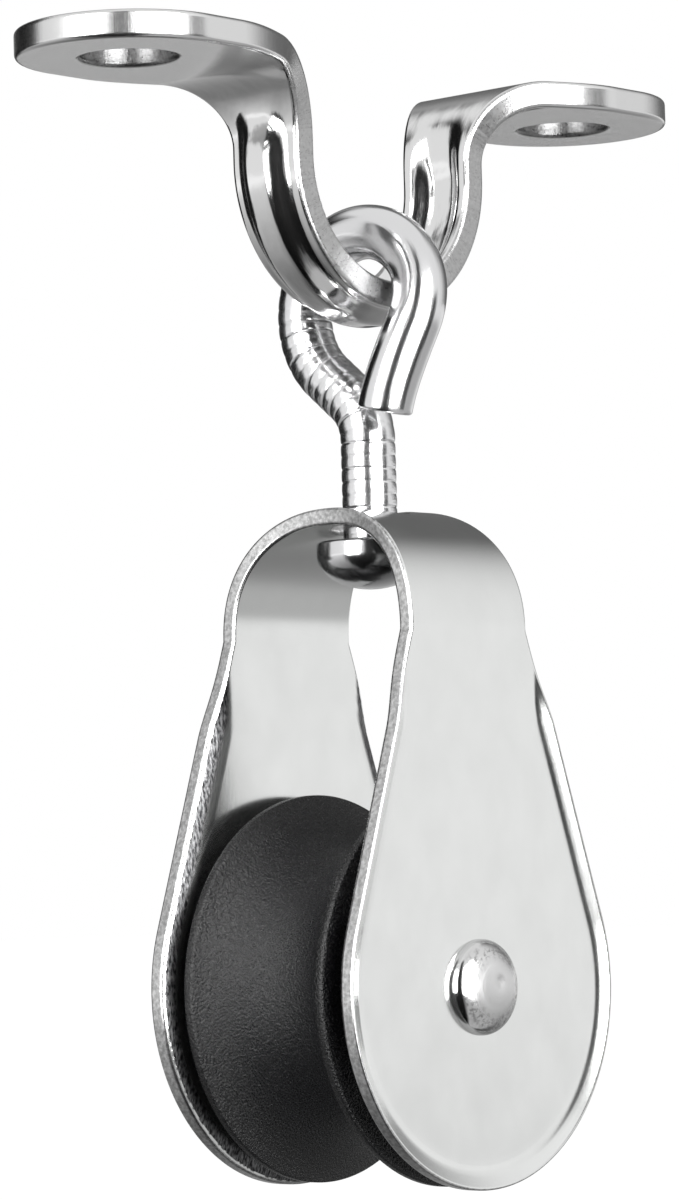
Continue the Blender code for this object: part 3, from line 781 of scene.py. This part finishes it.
# %% The rod's centre line
def eye_line():
    """Points of the rod's centre line, from its cut end to the end of the shank.

    Seen along X: a straight free leg, an arc over the top, a straight slope and a bend into
    the shank. The free leg leans forwards by an S-curve, to pass beside the neck. The length
    along the line comes with it, and where the jaws' marks begin, before the slope.
    """
    big, free, neck = ROD["inside"] / 2 + ROD["radius"], ROD["free"], ROD["neck"]
    reach = ROD["inside"] / 2 - STRAP["edge"] - SEAT_GAP
    rest = STRAP["leg_half"] - STRAP["edge"]
    centre = U_BOTTOM - STRAP["edge"] - math.sqrt(reach * reach - rest * rest)
    small = ROD["neck_bend"]
    slope = (big * math.cos(neck) - small * (1 - math.cos(neck))) / math.sin(neck)
    shank_top = centre - (big + small) * math.sin(neck) - slope * math.cos(neck)
    back = np.linspace(ROD["free_length"], 0, 30)[:-1]
    leg = np.stack([-big * math.cos(free) + back * math.sin(free),
                    centre - big * math.sin(free) - back * math.cos(free)], -1)
    turn = np.linspace(math.pi + free, -neck, 260)
    arc = np.stack([big * np.cos(turn), centre + big * np.sin(turn)], -1)
    turn = neck * np.linspace(1, 0, 60)
    bend = np.stack([small * (1 - np.cos(turn)), shank_top + small * np.sin(turn)], -1)
    straight = arc[-1] + (bend[0] - arc[-1]) * np.linspace(0, 1, 30)[1:-1, None]
    drop = np.linspace(0, ROD["shank"], 130)[1:]
    shank = np.stack([np.zeros(len(drop)), shank_top - drop], -1)
    line = np.concatenate([leg, arc, straight, bend, shank])
    along = np.append(0.0, np.cumsum(np.linalg.norm(np.diff(line, axis=0), axis=1)))
    seat = math.asin((STRAP["leg_half"] - STRAP["edge"] / 2) / (ROD["inside"] / 2))
    drift_end = ROD["free_length"] + big * (math.pi / 2 + free - seat)
    x = -ROD["offset"] * ease(1 - along / drift_end)
    marks_from = ROD["free_length"] + big * (math.pi + free - JAWS["top"])
    return np.column_stack([x, line]), along, marks_from


def head_sizes():
    """(drop, radius) of the head: a fillet, the flat top, a rounded rim and the dome."""
    radius, edge, fillet = ROD["head_radius"], ROD["edge"], ROD["head_fillet"]
    turn, dome = np.linspace(0, math.pi / 2, 8), np.linspace(0, math.pi / 2, 40)
    drop = [-fillet * (1 - np.sin(turn)), edge * (1 - np.cos(turn)),
            ROD["head_rim"] + ROD["head_dome"] * np.sin(dome)]
    reach = [ROD["radius"] + fillet * (1 - np.cos(turn)), radius - edge * (1 - np.sin(turn)),
             radius * np.cos(dome)]
    return np.stack([np.concatenate(drop), np.concatenate(reach)], -1)


def rod_circles():
    """Centre, radius, length along the rod and tangent of each circle, and the marks' ends.

    A point and a rounded edge close the cut end, and the circles of the head follow the shank.
    """
    line, along, marks_from = eye_line()
    edge, turn = ROD["edge"], np.linspace(0, math.pi / 2, 7)
    inset, reach = edge * (1 - np.cos(turn)), ROD["radius"] - edge * (1 - np.sin(turn))
    first = line[1] - line[0]
    start = line[0] + first / np.linalg.norm(first) * inset[:, None]
    keep, head = along > edge, head_sizes()
    down = np.column_stack([np.zeros((len(head), 2)), -head[:, 0]])
    centres = np.concatenate([line[:1], start, line[keep], line[-1] + down])
    plain = np.full(np.count_nonzero(keep), ROD["radius"])
    sizes = np.concatenate([[0.0], reach, plain, head[:, 1]])
    lengths = np.concatenate([[0.0], inset, along[keep], along[-1] + head[:, 0]])
    tangent = np.gradient(line, axis=0)
    tangents = np.concatenate([np.repeat(tangent[:1], 1 + len(turn), 0), tangent[keep],
                               np.tile((0.0, 0.0, -1.0), (len(head), 1))])
    tangents /= np.linalg.norm(tangents, axis=1, keepdims=True)
    return centres, sizes, lengths, tangents, (marks_from, along[-1] - JAWS["run_out"])


def jaw_marks(lengths, angle, first, last):
    """Depth of the ring marks and share of grip, at each length along the rod and each angle.

    A mark is a narrow dip, exp(-(d / width)^2), where d is the distance to the nearest mark,
    and the rod swells a little between two marks. Both change from mark to mark and round the
    rod, because the jaws gripped it from two sides.
    """
    place = ((lengths - first) / JAWS["pitch"])[:, None]
    number = np.floor(place)
    off = (place - number - 0.5) * JAWS["pitch"]
    gripped = between(lengths, first, JAWS["run_in"], last, JAWS["run_out"])[:, None]
    grip = 0.72 + 0.28 * np.cos(2 * (angle - JAWS["side"] - 0.25 * np.sin(number * 1.9)))
    dip = np.exp(-((off + JAWS["lean"] * np.sin(angle + number)) / JAWS["width"]) ** 2)
    depth = JAWS["depth"] * (0.6 + 0.4 * np.sin(number * 2.7 + 1.0)) * grip
    swell = JAWS["swell"] * np.cos(2 * math.pi * off / JAWS["pitch"])
    return gripped * (depth * dip + swell * grip), gripped * grip


# %% The rod
def swivel_eye():
    """A circle carried along the line, square to it, and made smaller by the marks' depth."""
    centres, sizes, lengths, tangent, marks = rod_circles()
    side = np.array([1.0, 0.0, 0.0]) - tangent * tangent[:, :1]
    side /= np.linalg.norm(side, axis=1, keepdims=True)
    other = np.cross(tangent, side)
    angle = np.linspace(0, 2 * math.pi, 97)
    depth, grip = jaw_marks(lengths, angle[None], *marks)
    radius = sizes[:, None] - depth
    turn = angle[None, :, None]
    ring = np.cos(turn) * side[:, None] + np.sin(turn) * other[:, None]
    ring[:, -1], radius[:, -1] = ring[:, 0], radius[:, 0]
    grid = centres[:, None] + ring * radius[..., None]
    around = np.minimum(angle, 2 * math.pi - angle) * ROD["radius"]
    pattern = np.broadcast_arrays(lengths[:, None] / MM, around[None] / MM, grip)
    return sew("swivel_eye_polished", [grid], [np.stack(pattern, -1)])


eye = put("swivel_eye_polished", swivel_eye(), rod_finish, "swivel_eye")


# %% [markdown]
# ## Turned pieces
# The wheel and the rivet are round about the axle, so a profile of (radius, y) is spun about
# the line along Y through the axle.

# %% The sheave
def spin(profile, steps):
    """Spin (radius, y) about the axle: x = r cos a, z = r sin a.

    The angle for the pattern goes up to a half turn and back, so that it has no seam.
    """
    angle = np.linspace(0, 2 * math.pi, steps + 1)
    angle[-1] = 0.0
    radius, y = profile[:, 0][None], profile[:, 1][None]
    x, z = radius * np.cos(angle)[:, None], AXLE_Z + radius * np.sin(angle)[:, None]
    grid = np.stack([x, np.broadcast_to(y, x.shape), z], -1)
    return grid, np.minimum(angle, 2 * math.pi - angle)


def sheave():
    """Profile: bore, hub, thin flange, rounded rim and a circular groove, then mirrored."""
    radius, half, rim = WHEEL["radius"], WHEEL["half_width"], WHEEL["rim"]
    mouth, depth = half - rim, WHEEL["depth"]
    groove = (mouth * mouth + depth * depth) / (2 * depth)
    sweep, fillet = math.asin(mouth / groove), WHEEL["fillet"]
    turn = np.linspace(0, math.pi / 2, 7)
    bore, bevel, hub, top = (WHEEL[key] for key in ("bore", "bore_bevel", "hub_radius",
                                                    "hub_half"))
    flange = [(bore, 0.0), (bore, top - bevel), (bore + bevel, top), (hub - fillet, top),
              (hub, top - fillet), (hub, half)]
    flange += [(r, half) for r in np.linspace(hub, radius - fillet, 12)[1:-1]]
    rim_round = np.stack([radius - fillet * (1 - np.sin(turn)),
                          half - fillet * (1 - np.cos(turn))], -1)
    angle = sweep * (1 - np.linspace(0, 1, 70))
    centre = radius - depth + groove
    trough = np.stack([centre - groove * np.cos(angle), groove * np.sin(angle)], -1)
    nip, step = 0.04 * MM, 0.05 * MM
    lip = np.array([(radius, half - fillet - step), (radius, mouth + 3 * nip),
                    (radius - nip, mouth + nip)])
    upper = np.concatenate([np.array(flange), rim_round, lip, trough[1:]])
    profile = np.concatenate([upper, upper[::-1][1:] * (1, -1)])
    grid, turned = spin(profile, 240)
    reach = np.broadcast_to(profile[:, 0], grid.shape[:2])
    rub = ease((radius - WHEEL["rub_from"] - reach) / WHEEL["rub_run"]) * (reach > hub + 1 * MM)
    around = turned[:, None] * (radius - depth)
    pattern = np.broadcast_arrays(around / MM, grid[..., 1] / MM, rub)
    return sew("sheave_moulded", [grid], [np.stack(pattern, -1)])


wheel = put("sheave_moulded", sheave(), nylon_finish, "sheave")


# %% The rivet
def axle_rivet():
    """Shank and two domed heads; each dome has a shallow dimple a little off its centre.

    The dimple is a dip exp(-(d / size)^2) in the distance d from its own centre.
    """
    seat, top = FACE_Y + RIVET["sink"], FACE_Y + SEAT_GAP + RIVET["dome"]
    turn, power = np.linspace(0, math.pi / 2, 50), RIVET["squareness"]
    cap = np.stack([RIVET["head"] * np.cos(turn) ** power,
                    seat + (top - seat) * np.sin(turn) ** power], -1)
    upper = np.concatenate([[(RIVET["shank"], 0.0), (RIVET["shank"], seat)], cap])
    profile = np.concatenate([upper[::-1] * (1, -1), upper[1:]])
    grid, turned = spin(profile, 120)
    out = np.where(np.abs(grid[..., 1]) > seat, 1.0, 0.0) * np.sign(grid[..., 1])
    away = np.hypot(grid[..., 0] - DIMPLE["x"], grid[..., 2] - AXLE_Z - DIMPLE["z"])
    grid[..., 1] -= out * DIMPLE["depth"] * np.exp(-(away / DIMPLE["size"]) ** 2)
    pattern = np.broadcast_arrays(profile[:, 0] / MM, turned[:, None], 0.0)
    return sew("axle_rivet_spun", [grid], [np.stack(pattern, -1)])


rivet = put("axle_rivet_spun", axle_rivet(), rivet_finish, "axle_rivet")

# %% [markdown]
# ## Sleeve
# The tube between the cheeks shows only as a thin ring, so the CAD solid stays and gets the
# finish of drawn tube.

# %% The sleeve's finish
sleeve = frame["nodes"]["axle_sleeve"]
sleeve.data.materials.clear()
sleeve.data.materials.append(tube_finish)
print(sleeve.name, "wears", tube_finish.name)


# %% [markdown]
# ## Studio
# Polished steel shows the room, so the room is made like a photographer's table: a white
# surround, dark cards that draw the dark bands on the metal, and two soft lamps. The cards
# stand out of sight and are hidden from the camera.

# %% The white surround
scene = bpy.context.scene
scene.view_settings.view_transform = "Standard"
CAMERA_AZIMUTH = math.radians(-48.3)
toward_camera = np.array([math.sin(CAMERA_AZIMUTH), -math.cos(CAMERA_AZIMUTH), 0.0])
image_right = np.array([math.cos(CAMERA_AZIMUTH), math.sin(CAMERA_AZIMUTH), 0.0])
BLOCK_MIDDLE = np.array([0.0, 0.0, -0.05])


def seen_share(tree):
    """1 for rays from the camera, from a gloss or through glass, and 0 for other rays."""
    path = add(tree, "ShaderNodeLightPath").outputs
    first = add(tree, "ShaderNodeMath", {0: path["Is Camera Ray"], 1: path["Is Glossy Ray"]},
                operation="MAXIMUM")
    return add(tree, "ShaderNodeMath", {0: first, 1: path["Is Transmission Ray"]},
               operation="MAXIMUM")


def white_surround():
    """World: white where it is seen, and a softer level as light."""
    world = bpy.data.worlds.new("white_surround")
    world.use_nodes = True
    tree = world.node_tree
    back = tree.nodes["Background"]
    back.inputs["Color"].default_value = linear("#ffffff")
    join(tree, back, Strength=add(tree, "ShaderNodeMapRange", {"Value": seen_share(tree),
                                                              "To Min": 0.55}))
    return world


scene.world = white_surround()
print("world:", scene.world.name)


# %% The floor
def pale_floor():
    """A white floor well below the block; it keeps the shadow and is white where seen."""
    made, tree, shader = new_finish("white_table", Base_Color=linear("#f2f2f2"), Roughness=0.9)
    glow = add(tree, "ShaderNodeEmission", {"Color": "#ffffff", "Strength": 1.22})
    share = add(tree, "ShaderNodeMath", {0: seen_share(tree), 1: 0.72}, operation="MULTIPLY")
    mix = add(tree, "ShaderNodeMixShader", {0: share, 1: shader, 2: glow})
    join(tree, tree.nodes["Material Output"], Surface=mix)
    reach, z = 12.0, -0.3
    mesh = bpy.data.meshes.new("floor")
    mesh.from_pydata([(-reach, -reach, z), (reach, -reach, z), (reach, reach, z),
                      (-reach, reach, z)], [], [(0, 1, 2, 3)])
    mesh.materials.append(made)
    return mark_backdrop(show("floor", mesh))


pale_floor()
print("floor in place")


# %% Cards and lamps
def at_angle(turn, distance):
    """A point at a turn round the block, counted from the camera towards the image's right."""
    turn = np.radians(turn)[..., None]
    return BLOCK_MIDDLE + distance * (toward_camera * np.cos(turn) + image_right * np.sin(turn))


def card_finish(name):
    """Plain card: each point has its own grey level, and lets through what its fade leaves."""
    made, tree, shader = new_finish(name)
    tree.nodes.remove(shader)
    level, fade = (add(tree, "ShaderNodeAttribute", attribute_name=label).outputs["Fac"]
                   for label in ("level", "fade"))
    glow = add(tree, "ShaderNodeEmission", {"Strength": level})
    clear = add(tree, "ShaderNodeBsdfTransparent")
    mix = add(tree, "ShaderNodeMixShader", {0: fade, 1: clear, 2: glow})
    join(tree, tree.nodes["Material Output"], Surface=mix)
    return made


def card(name, points, level, fade):
    """A card from a grid of points; only polished surfaces see it, and it lights nothing."""
    mesh = bpy.data.meshes.new(name)
    mesh.from_pydata(points.reshape(-1, 3), [], quads(*points.shape[:2]).tolist())
    for label, values in (("level", level), ("fade", fade)):
        layer = mesh.attributes.new(label, "FLOAT", "POINT")
        filled = np.broadcast_to(values, points.shape[:2]).astype(np.float32)
        layer.data.foreach_set("value", filled.ravel())
    mesh.materials.append(card_finish(name))
    piece = show(name, mesh)
    piece.visible_camera = piece.visible_diffuse = piece.visible_shadow = False
    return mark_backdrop(piece)


def standing_card(name, first, last, low, high, distance, level, soft=5.0):
    """A curved card from one turn to another, with soft edges some degrees wide."""
    turns = np.linspace(first - soft / 2, last + soft / 2, 40)
    heights = np.linspace(low, high, 12)
    points = at_angle(turns, distance)[None] + np.array([0, 0, 1.0]) * heights[:, None, None]
    inside = ease(np.minimum(turns - turns[0], turns[-1] - turns) / soft)
    upward = ease((high - heights) / (0.25 * (high - low)))
    return card(name, points, level, inside[None] * upward[:, None])


def lamp(name, turn, height, distance, width, tall, power):
    """A soft rectangular lamp that faces the block."""
    light = bpy.data.lights.new(name, "AREA")
    light.shape = "RECTANGLE"
    light.size, light.size_y, light.energy = width, tall, power
    place = Vector(at_angle(np.array(turn), distance)) + Vector((0, 0, height))
    aim = (Vector(BLOCK_MIDDLE) - place).to_track_quat("-Z", "Y").to_matrix().to_4x4()
    show(name, light).matrix_world = Matrix.Translation(place) @ aim


standing_card("dark_card_camera", -16, 6, -0.24, 1.3, 0.75, 0.01)
standing_card("dark_card_left", -160, -98, -0.24, 1.0, 0.8, 0.01, 10.0)
standing_card("dark_card_right", 61, 82, -0.24, 0.3, 0.8, 0.01)
standing_card("grey_card_back", 119, 204, 0.06, 1.3, 0.8, 0.14, 54.0)
standing_card("dark_card_behind", 160, 202, -0.07, 0.12, 0.85, 0.02, 6.0)


def table_card():
    """A grey table top: pale far away, darker close by, dark below the camera.

    The level rises with the logarithm of the distance. It is raised on the left of the camera,
    and on the right only close by.
    """
    def risen(low, high):
        return ease(np.log(reach / low) / np.log(high / low))

    turns, reach = np.linspace(-180, 180, 145), np.geomspace(0.01, 7.0, 70)
    points = np.stack([at_angle(turns, radius) for radius in reach])
    points[..., 2] = -0.29
    reach = reach[:, None]
    near, far = risen(0.08, 1.5), risen(1.3, 3.0)
    left = between(turns, -125, 25, -56, 12)
    front = between(turns, -64, 10, 22, 10)
    right = between(turns, 20, 10, 112, 12)
    level = 0.1 + 0.42 * near + 0.45 * far + 0.3 * left * near + 0.5 * right * (1 - near)
    level = level * (1 - 0.97 * front * (1 - ease((reach - 1.2) / 2)))
    return card("grey_table_card", points, level, 1.0)


table_card()
lamp("soft_lamp_right", 34, 0.15, 0.9, 0.7, 1.0, 22)
lamp("soft_lamp_left", -40, 0.25, 1.1, 0.6, 1.0, 14)


# %% [markdown]
# ## Camera
# The photograph was taken with a long lens from the front left and a little from below, and it
# is tilted by less than two degrees. The values were found by fitting the outlines of the
# pieces to those in the photograph. The lens looks at the middle of the frame, without shift.

# %% The camera
def set_camera():
    """Place the camera at a direction and distance from its target and turn it."""
    azimuth, elevation, roll = CAMERA_AZIMUTH, math.radians(-3.5), math.radians(-1.69)
    focal_pixels, distance, height = 4446.6, 0.40634, 1200
    flat = math.cos(elevation)
    back = Vector((math.sin(azimuth) * flat, -math.cos(azimuth) * flat, math.sin(elevation)))
    right = Vector(image_right)
    up = back.cross(right)
    target = right * -3.03 * MM + Vector((0.0, 0.0, -48.85 * MM))
    turned_right = right * math.cos(roll) + up * math.sin(roll)
    turned_up = up * math.cos(roll) - right * math.sin(roll)
    data = bpy.data.cameras.new("camera")
    data.sensor_width = 36.0
    data.lens = data.sensor_width * focal_pixels / height
    camera = show("camera", data)
    turn = Matrix((turned_right, turned_up, back)).transposed().to_4x4()
    camera.matrix_world = Matrix.Translation(target + back * distance) @ turn
    scene.camera = camera
    return camera


camera = set_camera()
print("lens", round(camera.data.lens, 1), "mm")
